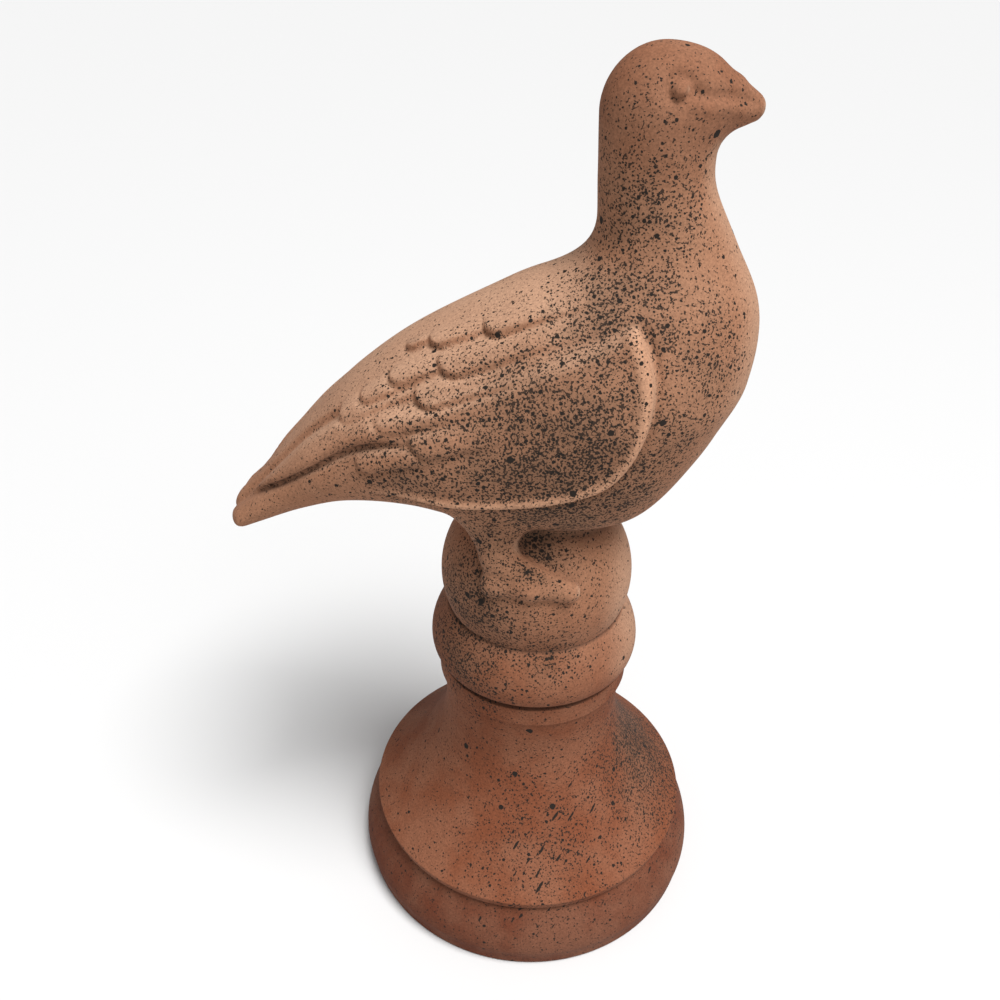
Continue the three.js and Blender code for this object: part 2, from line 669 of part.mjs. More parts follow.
function pedestalGeometry() {
  const pedestal = new THREE.LatheGeometry(pedestalProfile(), PEDESTAL_SIDES);
  return pedestal.rotateX(Math.PI / 2);
}

function toManifold(geometry) {
  const bare = geometry.clone();
  bare.deleteAttribute('normal');
  bare.deleteAttribute('uv');
  const merged = mergeVertices(bare, WELD);
  return new wasm.Manifold(new wasm.Mesh({
    numProp: 3,
    vertProperties: new Float32Array(merged.attributes.position.array),
    triVerts: new Uint32Array(merged.index.array),
  }));
}

// Where a mesh touches itself in one point, each side gets a point of its own, drawn a little inwards
function partTwins(solid) {
  const mesh = solid.getMesh();
  const points = mesh.vertProperties;
  const place = new THREE.Vector3();
  const seen = new Map();
  const twins = new Set();
  for (let p = 0; p < points.length / 3; p += 1) {
    const key = points.slice(p * 3, p * 3 + 3).join();
    if (seen.has(key)) twins.add(p).add(seen.get(key));
    seen.set(key, p);
  }
  twins.forEach((twin) => {
    const middle = new THREE.Vector3();
    let count = 0;
    for (let t = 0; t < mesh.triVerts.length; t += 3) {
      const face = mesh.triVerts.slice(t, t + 3);
      if (face.includes(twin)) {
        face.forEach((p) => middle.add(place.fromArray(points, p * 3)));
        count += 3;
      }
    }
    middle.divideScalar(count);
    place.fromArray(points, twin * 3).lerp(middle, TWIN_DRAW).toArray(points, twin * 3);
  });
  return new wasm.Manifold(new wasm.Mesh({ numProp: 3, vertProperties: points, triVerts: mesh.triVerts }));
}

function toGeometry(manifold) {
  const mesh = manifold.getMesh();
  const geometry = new THREE.BufferGeometry();
  geometry.setAttribute('position', new THREE.BufferAttribute(mesh.vertProperties, 3));
  geometry.setIndex(new THREE.BufferAttribute(mesh.triVerts, 1));
  geometry.computeVertexNormals();
  return geometry;
}

function finial() {
  const solid = toManifold(pedestalGeometry()).add(partTwins(toManifold(birdGeometry())));
  const mesh = new THREE.Mesh(toGeometry(solid), new THREE.MeshStandardMaterial(CLAY));
  mesh.name = 'pigeon_finial';
  return mesh;
}

const group = new THREE.Group();
group.add(finial());
export default group;
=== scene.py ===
import math

import bpy
import numpy as np
from mathutils import Matrix, Vector, kdtree


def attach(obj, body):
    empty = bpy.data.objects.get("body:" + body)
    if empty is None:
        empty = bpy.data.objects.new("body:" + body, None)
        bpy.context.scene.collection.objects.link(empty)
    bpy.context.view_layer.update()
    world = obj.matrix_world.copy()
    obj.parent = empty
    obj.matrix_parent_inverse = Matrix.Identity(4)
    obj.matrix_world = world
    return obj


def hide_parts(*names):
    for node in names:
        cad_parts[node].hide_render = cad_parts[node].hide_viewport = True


# A terracotta roof finial: a pigeon on a ball above a turned pedestal. Sizes are millimetres, in
# the frame of the CAD part, and become metres when the mesh is made. The bird faces +X.

MM = 0.001
TINY = 1e-9

# Pedestal profile, from the underside up
FOOT_RADIUS = 73.9
FOOT_BEVEL = 1
FOOT_EDGE_Z = 0.9
PLINTH_RADIUS = 75
PLINTH_WIDEST_Z = 8.5
COVE_RADIUS = 66.2
COVE_Z = 27.8
RIM_RADIUS = 68.7
RIM_INSET = 0.8
RIM_Z = 33.6
RIM_HEIGHT = 3.2
RIM_ROUND = 0.9
BELL_CURVE = 1.95
NECK_RADIUS = 36.2
NECK_Z = 90
COLLAR_RADIUS = 38.7
COLLAR_Z = 106.6
COLLAR_HEIGHT = 8
COLLAR_STEP = 1.2
GROOVE_RADIUS = 36.8
GROOVE_HEIGHT = 2
ROLL_RADIUS = 41.8
ROLL_LOW_RADIUS = 38.9
ROLL_LOW_Z = 117.8
ROLL_WIDEST_Z = 124.5
ROLL_TOP_RADIUS = 34.8
ROLL_TOP_Z = 142.8
PEDESTAL_PEAK = 4
EDGE_ROUND = 0.5
PEDESTAL_SIDES = 144
PROFILE_STEP = 2.2
PROFILE_BEND = math.radians(9)
FINE_STEP = 0.1

# Points on each curve of the profile: how far along it the first and last lie, and how many they are
PLINTH_POINTS = (0.15, 1, 8)
COVE_POINTS = (0.06, 1, 16)
BELL_POINTS = (0, 1, 30)
FLARE_POINTS = (0.1, 1, 8)
ROLL_LOW_POINTS = (0, 1, 10)
ROLL_TOP_POINTS = (0.08, 1, 12)

# Ball that the pigeon stands on
BALL_RADIUS = 37.3
BALL_Z = 156.1

# Body sections, square to a line that climbs towards the breast
BODY_X = -20
BODY_Z = 228
BODY_SLOPE = math.radians(28)
BODY_STATIONS = [
    {"u": -114, "top": 4, "bottom": -2.6, "half": 14},
    {"u": -95, "top": 9.5, "bottom": -3.8, "half": 18},
    {"u": -75, "top": 17.5, "bottom": -5.9, "half": 22},
    {"u": -56, "top": 25, "bottom": -9.8, "half": 28},
    {"u": -35, "top": 31.8, "bottom": -22.3, "half": 33},
    {"u": -10, "top": 36.2, "bottom": -45, "half": 38},
    {"u": 25, "top": 36.9, "bottom": -60.4, "half": 41},
    {"u": 60, "top": 36, "bottom": -52.8, "half": 42},
    {"u": 97, "top": 37, "bottom": -42, "half": 42},
]
TAIL_END = -108
TAIL_ROUND = 7
BREAST_END = 94.9
BREAST_ROUND = 67

# Neck and head, level sections
NECK_STATIONS = [
    {"z": 240, "back": 4, "front": 61.6, "half": 30},
    {"z": 270, "back": 9.8, "front": 64.2, "half": 25},
    {"z": 290, "back": 14.2, "front": 58.4, "half": 20},
    {"z": 310, "back": 13.7, "front": 49.4, "half": 16.5},
    {"z": 330, "back": 12.8, "front": 50, "half": 16},
    {"z": 349, "back": 12.8, "front": 50, "half": 15.5},
]
HEAD_TOP = 348
HEAD_ROUND = 20
NECK_FOOT = 238
NECK_FOOT_ROUND = 10

# Beak, a tapered rod, and the swelling over its root
BEAK_ROOT = (40, 0, 332.4)
BEAK_ROOT_RADIUS = 12.8
BEAK_TIP = (56.8, 0, 330.5)
BEAK_TIP_RADIUS = 4.5
CERE = (50.2, 336.3)
CERE_RADII = (4.6, 4, 3.3)

# Leg on the y side, rods from joint to joint against the ball
HIP = (-16, 20, 198)
HIP_RADIUS = 13
ANKLE = (-14, 28.2, 182.2)
ANKLE_RADIUS = 4.6
HEEL = (-15.5, 31.4, 171)
HEEL_RADIUS = 3.6
ARCH = (-1.5, 34.3, 171.6)
ARCH_RADIUS = 3.2
TOE_TIP = (12, 33.6, 171.3)
TOE_RADIUS = 3.1

# How wide the fillets between the forms are
NECK_FILLET = 15
BEAK_FILLET = 5
CERE_FILLET = 1.4
THIGH_FILLET = 6
FOOT_FILLET = 4
SOLE_FILLET = 1
BALL_FILLET = 4

# Relief on each flank, by u and by the turn in degrees down from the ridge of the back. A pair of
# numbers is where something begins and where it is whole.
FLANK_DEPTH = (3, 7)
NECK_CLEAR = (-2, 3)
WING_FRONT = 63
WING_LOW = 105
WING_CORNER = 32
WING_TOP = (48, 58)
WING_BACK = (-50, -15)
WING_RAISED = 2.1
LIP_RAISED = 1.9
LIP_HALF = 2.2
LIP_HALF_LOW = 1.5
LIP_NARROWS = (80, 105)
LIP_CREASE = 0.9
CREASE_HALF = 1.2
CREASE_AWAY = 1

# Covert feathers, the undermost first, each by its rounded tip
FEATHERS = [
    {"u": -40, "turn": 74, "half": 4.6, "lean": -5, "length": 26},
    {"u": -18, "turn": 67, "half": 5.2, "lean": 0, "length": 22},
    {"u": -27, "turn": 51.5, "half": 5, "lean": 4, "length": 20},
    {"u": -41, "turn": 33, "half": 5.6, "lean": 4, "length": 22},
    {"u": -11, "turn": 45, "half": 5.6, "lean": 2, "length": 24},
    {"u": -31, "turn": 31, "half": 4.6, "lean": 2, "length": 16},
    {"u": -18.5, "turn": 29, "half": 5.4, "lean": 2, "length": 20},
    {"u": 0, "turn": 34, "half": 6.4, "lean": 3, "length": 26},
    {"u": -11, "turn": 12.5, "half": 4.2, "lean": 2, "length": 14},
    {"u": -1.5, "turn": 18, "half": 5.4, "lean": 5, "length": 18},
    {"u": 18, "turn": 25, "half": 5.4, "lean": 2, "length": 20},
]
FEATHER_RAISED = 2.1
FEATHER_CREASE = 0.6
FEATHER_CREASE_HALF = 1
RIDGE_CLEAR = (8, 20)
FAR_SIDE_CLEAR = (35, 60)

# The long feather of the tail: the turns of its upper and lower edge along the body
TAIL_STATIONS = [
    {"u": -106, "upper": 19, "lower": 25},
    {"u": -98, "upper": 21, "lower": 29},
    {"u": -86, "upper": 24, "lower": 43},
    {"u": -75, "upper": 26, "lower": 56},
    {"u": -60, "upper": 27, "lower": 62},
    {"u": -44, "upper": 32, "lower": 61},
    {"u": -30, "upper": 34, "lower": 63},
    {"u": -16, "upper": 36, "lower": 68},
]
TAIL_BEGINS = (-110, -100)
TAIL_ENDS = (-32, -14)
TAIL_SLIM = (-104, -80)
TAIL_RAISED = 2.6
TAIL_SLOPE = 6
TAIL_EDGE = 1
UPPER_GROOVE_ENDS = (-46, -38)
GROOVE_DEPTH = 2
GROOVE_HALF = 1.8
EDGE_SOFT = 0.6

# Eye, the groove from it to the beak and the ridge below that groove, seen from the side
EYE = (34.5, 337.7)
EYE_RADIUS = 2.6
EYE_FLATTENED = 1.2
EYE_RAISED = 1.6
EYE_CROWN = 0.7
ORBIT_DEPTH = 0.7
ORBIT_HALF = 1.2
HOLLOW_DEPTH = 0.6
HOLLOW_HALF = 4
MOUTH = [(39, 336.6), (44, 335.6), (49, 335.2), (53, 333.9), (57, 332.6)]
MOUTH_DEPTH = 1.2
MOUTH_HALF = 1.5
CHEEK = [(40, 333), (48, 332.2), (54, 330.6)]
CHEEK_RAISED = 0.5
CHEEK_HALF = 1.6
FACE_LOW = 318
FACE_SIDE = (1, 3)

# Grid that the bird is faceted on
CELL = 1.25
GRID_LOW = (-128, -50, 112)
GRID_HIGH = (76, 50, 354)
SLAB = 8

# How the grid's points are moved onto the surface
SETTLE_ROUNDS = 3
SETTLE_STEP = 0.05
SETTLE_LEAST_SLOPE = 0.05
SETTLE_FURTHEST = 0.6

# How far out a crease is looked for, and how far up the pedestal takes part in that
CREASE_REACHES = (1.5, 3, 6)
PEDESTAL_REACH = 10

# Camera: where it stands, and how it is pitched, panned and rolled
CAMERA_BACK = 309.5
CAMERA_UP = 402.3
CAMERA_PITCH = math.radians(34.85)
CAMERA_PAN = math.radians(2.72)
CAMERA_ROLL = math.radians(0.86)
LENS = 36
SENSOR = 36
CLIP_START = 0.02

# Floor and lights, in metres and in the lights' own units
FLOOR_SIZE = 6
FLOOR_COLOUR = (0.66, 0.66, 0.66, 1)
FLOOR_ROUGHNESS = 0.9
LAMP_PLACE = (0.25, -0.4, 0.85)
LAMP_TARGET = (0, 0, 0.27)
LAMP_SIZE = 0.5
LAMP_POWER = 1.9
SUN_HEADING = (-0.3, 0.25, -0.95)
SUN_STRENGTH = 3.6
SUN_SOFTNESS = math.radians(30)
WORLD_COLOUR = (1, 1, 1, 1)
WORLD_STRENGTH = 0.35

# Colours, linear
# The pedestal's and the plinth's colours are darker than the bird's clay partly as painted shade, for the
# light falling off towards the bottom
PEDESTAL_CLAY_AND_SHADE = (0.180, 0.055, 0.024, 1)
PLINTH_CLAY_AND_SHADE = (0.123, 0.034, 0.0155, 1)
BIRD_CLAY = (0.305, 0.143, 0.079, 1)
HEAD_CLAY = (0.222, 0.092, 0.048, 1)
# Pale clay of the bloom, also painted light on the sides that face the light
CHALK_AND_LIGHT_CLAY = (0.45, 0.265, 0.17, 1)
# Painted highlight along the wing's raised lip
LIP_HIGHLIGHT = (0.56, 0.31, 0.19, 1)
# Painted shade and dirt, darkening the creases
CREASE_DIRT_AND_SHADE = (0.06, 0.030, 0.020, 1)
SPATTER_HAZE = (0.105, 0.060, 0.036, 1)
SPATTER_DARK = (0.018, 0.013, 0.010, 1)

# Where the dark spatter lies: the share of the surface that it covers there, and how far it spreads
SPATTER_CLOUDS = [
    {"at": (8, -38, 224), "reach": 44, "share": 0.30},
    {"at": (-38, -33, 222), "reach": 30, "share": 0.18},
    {"at": (20, -26, 272), "reach": 26, "share": 0.23},
    {"at": (28, -16, 303), "reach": 22, "share": 0.18},
    {"at": (52, -28, 262), "reach": 24, "share": 0.16},
    {"at": (28, -14, 330), "reach": 14, "share": 0.05},
    {"at": (0, -28, 184), "reach": 11, "share": 0.40},
    {"at": (-14, -28, 194), "reach": 16, "share": 0.24},
    {"at": (-22, -28, 158), "reach": 24, "share": 0.25},
    {"at": (-28, -28, 130), "reach": 22, "share": 0.22},
    {"at": (6, -36, 143), "reach": 14, "share": 0.18},
    {"at": (10, -55, 55), "reach": 34, "share": 0.09},
    {"at": (50, 6, 60), "reach": 34, "share": 0.30},
]
FAR_SIDE_SHARE = 0.7
SPATTER_EVERYWHERE = 0.012
SPATTER_FACING = (0.1, 0.75)
SPATTER_LESS_IN_FRONT = 0.35
SPATTER_LEAVES_PEDESTAL = (ROLL_TOP_Z, ROLL_TOP_Z + 20)
# How much spatter is kept off the lip, which keeps its painted highlight clear
LIP_HIGHLIGHT_CLEAR = 0.8

# Marks of the spatter. A cell, in mm, holds one mark at most, the widest has this radius in cells,
# and the share of cells with a mark is the share covered times the gain, plus what lies anywhere.
SMALL_DOTS = {"cell": 1.0, "widest": 0.48, "gain": 4.0, "anywhere": 0.0}
ROUND_DOTS = {"cell": 1.7, "widest": 0.45, "gain": 2.4, "anywhere": 0.0}
BLOTS = {"cell": 5.2, "widest": 0.30, "gain": 1.2, "anywhere": 0.004}
STREAKS = {"cell": 1.9, "widest": 0.34, "gain": 3.6, "anywhere": 0.0}
STREAK_TURN = (math.radians(49), math.radians(-30), 0)
STREAK_SQUEEZE = (1, 1, 0.2)
DOT_LEAST = 0.4
DOT_RARITY = 2.0
DOT_SOFT = 0.06
MIST_LEVEL = 0.70
MIST_GAIN = -0.32
WOBBLE = 0.7

# Noises: the size in mm, the detail and, where given, the roughness
WOBBLE_NOISE = (0.8, 1.0)
PATCH_NOISE = (8, 2)
MIST_NOISE = (0.9, 1.5, 0.6)
CLOUDY_NOISE = (26, 3)
GRAIN_NOISE = (0.8, 3, 0.65)
LUMP_NOISE = (4, 2)

# Ramps: the two values that something changes between, and what it changes from and to
PATCH_RAMP = (0.3, 0.7, 0.75, 1.25)
MIST_RAMP = (-0.01, 0.02, 0.0, 0.9)
CLOUDY_RAMP = (0.35, 0.65, 0.0, 0.14)
SANDY_RAMP = (0.3, 0.7, 0.80, 1.16)
DIRT_AND_SHADE_RAMP = (0.12, 0.8, 0.0, 0.8)
HAZE_RAMP = (0.03, 0.35, 0.0, 0.55)

# Pale bloom that is also painted light, paler on surfaces that face up or forward towards the light: by
# how far the surface faces up or forward and by height
BLOOM_AND_LIGHT_UPWARD = (0.35, 0.95)
BLOOM_AND_LIGHT_BEGINS = (190, 215)
BLOOM_AND_LIGHT_ENDS = (300, 325)
BLOOM_AND_LIGHT_FORWARD = (0.6, 0.95)
BLOOM_AND_LIGHT_FORWARD_BEGINS = (ROLL_WIDEST_Z - 15, ROLL_WIDEST_Z + 5)
BLOOM_AND_LIGHT_FORWARD_SHARE = 0.8
BLOOM_AND_LIGHT_SHARE = 0.8
LIP_HIGHLIGHT_SHARE = 0.8

# Heights between which one colour, or the streaks, gives way to the next
BIRD_BEGINS = (COLLAR_Z, ROLL_TOP_Z + 45)
HEAD_BEGINS = (300, 335)
PLINTH_ENDS = (COVE_Z - 4, RIM_Z)
STREAKS_END = (NECK_Z - 15, COLLAR_Z)

# The clay's surface
CLAY_ROUGHNESS = 0.9
CLAY_SPECULAR = 0.2
LUMP_HEIGHT = 2.0
GRAIN_HEIGHT = 0.5
BUMP_DISTANCE = 0.16
BUMP_STRENGTH = 0.8

# The colour sockets of the mix node: its two inputs and its output
MIX_FIRST = 6
MIX_SECOND = 7
MIX_RESULT = 2


def clamp(value, low, high):
    return np.minimum(np.maximum(value, low), high)


def smooth(value, low, high):
    t = clamp((value - low) / (high - low), 0, 1)
    return t * t * (3 - 2 * t)


def bump(distance, half):
    return np.exp(-(distance / half) ** 2)


def mix(a, b, t):
    return a + (b - a) * t


def quarter(t):
    return math.cos(t * math.pi / 2)


def between(stations, along, name, t):
    """One named dimension at t, on a smooth curve through all the stations."""
    at = np.array([station[along] for station in stations], float)
    value = np.array([station[name] for station in stations], float)
    before = np.maximum(np.arange(len(at)) - 1, 0)
    after = np.minimum(np.arange(len(at)) + 1, len(at) - 1)
    slope = (value[after] - value[before]) / (at[after] - at[before])
    i = clamp(np.searchsorted(at, t, side="right") - 1, 0, len(at) - 2)
    span = at[i + 1] - at[i]
    s = clamp((t - at[i]) / span, 0, 1)
    rise = 3 * s ** 2 - 2 * s ** 3
    here = (s ** 3 - 2 * s ** 2 + s) * slope[i] * span
    there = (s ** 3 - s ** 2) * slope[i + 1] * span
    return value[i] + (value[i + 1] - value[i]) * rise + here + there


def ellipsoid(dx, dy, dz, rx, ry, rz):
    """Near enough the signed distance to an ellipsoid."""
    k0 = np.sqrt((dx / rx) ** 2 + (dy / ry) ** 2 + (dz / rz) ** 2)
    k1 = np.sqrt((dx / rx ** 2) ** 2 + (dy / ry ** 2) ** 2 + (dz / rz ** 2) ** 2)
    return k0 * (k0 - 1) / np.maximum(k1, TINY)


def blend(a, b, k):
    """Two signed distances joined with a fillet about as wide as k."""
    h = np.maximum(k - np.abs(a - b), 0) / k
    return np.minimum(a, b) - h * h * k / 4


def rod(x, y, z, start, end, r0, r1):
    """Signed distance to a ball-ended rod that tapers from r0 to r1."""
    ax, ay, az = (end[i] - start[i] for i in range(3))
    length = math.hypot(ax, ay, az)
    px, py, pz = x - start[0], y - start[1], z - start[2]
    along = (px * ax + py * ay + pz * az) / length
    away = np.sqrt(np.maximum(px ** 2 + py ** 2 + pz ** 2 - along ** 2, 0))
    taper = (r0 - r1) / length
    nearest = clamp(along - away * taper / math.sqrt(1 - taper ** 2), 0, length)
    return np.hypot(along - nearest, away) - (r0 - taper * nearest)


def line_distance(corners, px, py):
    """Distance to a line through a few corners."""
    nearest = np.full(np.broadcast(px, py).shape, np.inf)
    for (ax, ay), (cx, cy) in zip(corners, corners[1:]):
        bx, by = cx - ax, cy - ay
        t = clamp(((px - ax) * bx + (py - ay) * by) / (bx * bx + by * by), 0, 1)
        nearest = np.minimum(nearest, np.hypot(px - ax - bx * t, py - ay - by * t))
    return nearest


def body_section(x, z):
    """Where points lie along the body, with the size of the section there."""
    dx, dz = x - BODY_X, z - BODY_Z
    u = dx * math.cos(BODY_SLOPE) + dz * math.sin(BODY_SLOPE)
    v = dz * math.cos(BODY_SLOPE) - dx * math.sin(BODY_SLOPE)
    inside = clamp(u, TAIL_END, BREAST_END)
    top = between(BODY_STATIONS, "u", "top", inside)
    bottom = between(BODY_STATIONS, "u", "bottom", inside)
    half = between(BODY_STATIONS, "u", "half", inside)
    return u, v - (top + bottom) / 2, half, (top - bottom) / 2


def unrolled(y, section):
    """Places on the flank, with how many millimetres one degree of turn is there."""
    u, v, half, tall = section
    return u, np.degrees(np.arctan2(y / half, v / tall)), np.radians((half + tall) / 2)


def body_distance(y, section):
    u, v, half, tall = section
    tail_cap = np.minimum(u - (TAIL_END + TAIL_ROUND), 0)
    breast_cap = np.maximum(u - (BREAST_END - BREAST_ROUND), 0)
    cap = np.where(tail_cap < 0, tail_cap, breast_cap)
    cap_length = np.where(tail_cap < 0, TAIL_ROUND, BREAST_ROUND)
    return ellipsoid(cap, y, v, cap_length, half, tall)


def neck_distance(x, y, z):
    inside = clamp(z, NECK_FOOT, HEAD_TOP)
    back = between(NECK_STATIONS, "z", "back", inside)
    front = between(NECK_STATIONS, "z", "front", inside)
    half = between(NECK_STATIONS, "z", "half", inside)
    foot_cap = np.minimum(z - (NECK_FOOT + NECK_FOOT_ROUND), 0)
    head_cap = np.maximum(z - (HEAD_TOP - HEAD_ROUND), 0)
    cap = np.where(foot_cap < 0, foot_cap, head_cap)
    cap_length = np.where(foot_cap < 0, NECK_FOOT_ROUND, HEAD_ROUND)
    return ellipsoid(x - (back + front) / 2, y, cap, (front - back) / 2, half, cap_length)


def foot_distance(x, y, z):
    """A solid wedge: rods that fan out from the ankle, and a sole that follows the ball."""
    shank = rod(x, y, z, ANKLE, HEEL, ANKLE_RADIUS, HEEL_RADIUS)
    arch = rod(x, y, z, ANKLE, ARCH, ANKLE_RADIUS, ARCH_RADIUS)
    instep = rod(x, y, z, ANKLE, TOE_TIP, ANKLE_RADIUS, TOE_RADIUS)
    heel_sole = rod(x, y, z, HEEL, ARCH, HEEL_RADIUS, ARCH_RADIUS)
    toe_sole = rod(x, y, z, ARCH, TOE_TIP, ARCH_RADIUS, TOE_RADIUS)
    fan = blend(blend(shank, arch, FOOT_FILLET), instep, FOOT_FILLET)
    return blend(fan, np.minimum(heel_sole, toe_sole), FOOT_FILLET)


def wing_height(u, turn, arc):
    """The folded wing, a plate with a rounded lip along its front and lower edge, and that lip alone."""
    front = WING_CORNER - (WING_FRONT - u)
    low = WING_CORNER - (WING_LOW - turn) * arc
    edge = np.hypot(np.maximum(front, 0), np.maximum(low, 0)) - WING_CORNER
    edge = edge + np.minimum(np.maximum(front, low), 0)
    fade = smooth(turn, *WING_TOP) * smooth(u, *WING_BACK)
    lip_half = mix(LIP_HALF, LIP_HALF_LOW, smooth(turn, *LIP_NARROWS))
    plate = WING_RAISED * smooth(-edge, -EDGE_SOFT, EDGE_SOFT)
    on_lip = bump(edge + lip_half, lip_half)
    crease = LIP_CREASE * bump(edge - EDGE_SOFT - CREASE_AWAY, CREASE_HALF)
    return (plate + LIP_RAISED * on_lip - crease) * fade, on_lip * fade


def lay_feather(height, feather, u, turn, arc):
    """One covert over those laid before: tucked in above, standing out at its tip and lower edge."""
    half = feather["half"]
    lean = math.radians(feather["lean"])
    du, ds = u - feather["u"], (turn - feather["turn"]) * arc
    along = du * math.cos(lean) + ds * math.sin(lean)
    across = ds * math.cos(lean) - du * math.sin(lean)
    edge = np.hypot(np.minimum(along - half, 0), across) - half
    cover = smooth(-edge, -EDGE_SOFT, EDGE_SOFT)
    lifted = smooth(across, -half, half / 2) * bump(np.maximum(along, 0), feather["length"])
    crease = FEATHER_CREASE * bump(edge - CREASE_AWAY, FEATHER_CREASE_HALF) * (1 - cover)
    return height + (FEATHER_RAISED - height) * cover * lifted - crease * lifted


def tail_height(u, turn, arc):
    """The long feather that runs down to the tail, with a groove along both its edges."""
    below_upper = (turn - between(TAIL_STATIONS, "u", "upper", u)) * arc
    below_lower = (turn - between(TAIL_STATIONS, "u", "lower", u)) * arc
    fade = smooth(u, *TAIL_BEGINS) * (1 - smooth(u, *TAIL_ENDS))
    raised = smooth(below_upper, 0, TAIL_SLOPE) * smooth(-below_lower, -TAIL_EDGE, TAIL_EDGE)
    upper_groove = bump(below_upper, GROOVE_HALF) * (1 - smooth(u, *UPPER_GROOVE_ENDS))
    lower_groove = bump(below_lower - GROOVE_HALF / 2, GROOVE_HALF)
    slim = smooth(u, *TAIL_SLIM)
    return fade * (TAIL_RAISED * raised * slim - GROOVE_DEPTH * (upper_groove + lower_groove))


def flank_relief(u, turn, arc, far_side):
    """Height of the carving; the coverts stop short of the ridge, further down on the far side."""
    tail = tail_height(u, turn, arc)
    height = tail
    for feather in FEATHERS:
        height = lay_feather(height, feather, u, turn, arc)
    shown = np.where(far_side, smooth(turn, *FAR_SIDE_CLEAR), smooth(turn, *RIDGE_CLEAR))
    wing, _ = wing_height(u, turn, arc)
    return tail + (height - tail) * shown + wing


def face_relief(x, z):
    r = np.hypot(x - EYE[0], (z - EYE[1]) * EYE_FLATTENED)
    eye = EYE_RAISED * np.maximum(1 - (r / EYE_RADIUS) ** 2, 0) ** EYE_CROWN
    orbit = ORBIT_DEPTH * bump(r - EYE_RADIUS - ORBIT_HALF, ORBIT_HALF)
    hollow = HOLLOW_DEPTH * bump(r - EYE_RADIUS, HOLLOW_HALF)
    cheek = CHEEK_RAISED * bump(line_distance(CHEEK, x, z), CHEEK_HALF)
    return eye - orbit - hollow + cheek - MOUTH_DEPTH * bump(line_distance(MOUTH, x, z), MOUTH_HALF)


def bird_distance(x, y, z):
    """Signed distance, near enough, to the pigeon and its ball."""
    x, y, z = np.broadcast_arrays(x, y, z)
    far_side = y > 0
    y = np.abs(y)
    section = body_section(x, z)
    body = body_distance(y, section)
    neck = neck_distance(x, y, z)
    d = blend(body, neck, NECK_FILLET)
    on_flank = (1 - smooth(np.abs(body), *FLANK_DEPTH)) * smooth(neck, *NECK_CLEAR)
    near = on_flank > 0
    u, turn, arc = unrolled(y[near], [part[near] for part in section])
    d[near] -= flank_relief(u, turn, arc, far_side[near]) * on_flank[near]
    d = blend(d, rod(x, y, z, BEAK_ROOT, BEAK_TIP, BEAK_ROOT_RADIUS, BEAK_TIP_RADIUS), BEAK_FILLET)
    d = blend(d, ellipsoid(x - CERE[0], y, z - CERE[1], *CERE_RADII), CERE_FILLET)
    head = z > FACE_LOW
    d[head] -= (face_relief(x, z) * smooth(y, *FACE_SIDE))[head]
    ball = np.sqrt(x ** 2 + y ** 2 + (z - BALL_Z) ** 2) - BALL_RADIUS
    d = blend(d, rod(x, y, z, HIP, ANKLE, HIP_RADIUS, ANKLE_RADIUS), THIGH_FILLET)
    return blend(d, blend(ball, foot_distance(x, y, z), SOLE_FILLET), BALL_FILLET)


def settle(points):
    """Moves points along the field's slope onto the surface."""
    step = SETTLE_STEP
    for _ in range(SETTLE_ROUNDS):
        x, y, z = points.T
        value = bird_distance(x, y, z)
        slope = np.stack([
            bird_distance(x + step, y, z) - bird_distance(x - step, y, z),
            bird_distance(x, y + step, z) - bird_distance(x, y - step, z),
            bird_distance(x, y, z + step) - bird_distance(x, y, z - step),
        ], 1) / (2 * step)
        steepness = np.maximum((slope ** 2).sum(1), SETTLE_LEAST_SLOPE)
        move = clamp(value / steepness, -SETTLE_FURTHEST, SETTLE_FURTHEST)
        points = points - slope * move[:, None]
    return points


def grid_field(axes):
    """The signed distance at every corner of the grid, a few slabs at a time."""
    return np.concatenate([
        bird_distance(axes[0][i:i + SLAB, None, None], axes[1][None, :, None], axes[2][None, None, :])
        for i in range(0, len(axes[0]), SLAB)
    ])


def crossings(values, axis):
    """Where the surface crosses the grid's edges along one axis, and which of them start outside it."""
    length = values.shape[axis]
    a = np.take(values, range(length - 1), axis)
    b = np.take(values, range(1, length), axis)
    corner = np.argwhere((a < 0) != (b < 0))
    start, end = a[tuple(corner.T)], b[tuple(corner.T)]
    crossing = corner.astype(float)
    crossing[:, axis] += start / (start - end)
    return corner, crossing, start >= 0


def skin():
    """Points and quads of the surface, one point in each grid cell that it crosses."""
    low = np.array(GRID_LOW, float)
    count = np.ceil((np.array(GRID_HIGH) - low) / CELL).astype(int) + 1
    values = grid_field([low[i] + np.arange(count[i]) * CELL for i in range(3)])
    cells = tuple(count - 1)
    total = np.zeros((int(np.prod(cells)), 4))
    quads = []
    for axis in range(3):
        one, two = (axis + 1) % 3, (axis + 2) % 3
        corner, crossing, outside = crossings(values, axis)
        around = []
        for back_one, back_two in ((1, 1), (0, 1), (0, 0), (1, 0)):
            cell = corner.copy()
            cell[:, one] -= back_one
            cell[:, two] -= back_two
            flat = np.ravel_multi_index(tuple(cell.T), cells)
            around.append(flat)
            for i in range(3):
                total[:, i] += np.bincount(flat, crossing[:, i], len(total))
            total[:, 3] += np.bincount(flat, minlength=len(total))
        quad = np.stack(around, 1)
        quad[outside] = quad[outside][:, ::-1]
        quads.append(quad)
    used = total[:, 3] > 0
    number = np.cumsum(used) - 1
    points = low + total[used, :3] / total[used, 3:] * CELL
    return settle(points), number[np.concatenate(quads)]


def mesh_object(name, points, faces):
    mesh = bpy.data.meshes.new(name)
    mesh.from_pydata((np.asarray(points) * MM).tolist(), [], faces)
    mesh.validate()
    piece = bpy.data.objects.new(name, mesh)
    bpy.context.scene.collection.objects.link(piece)
    return piece


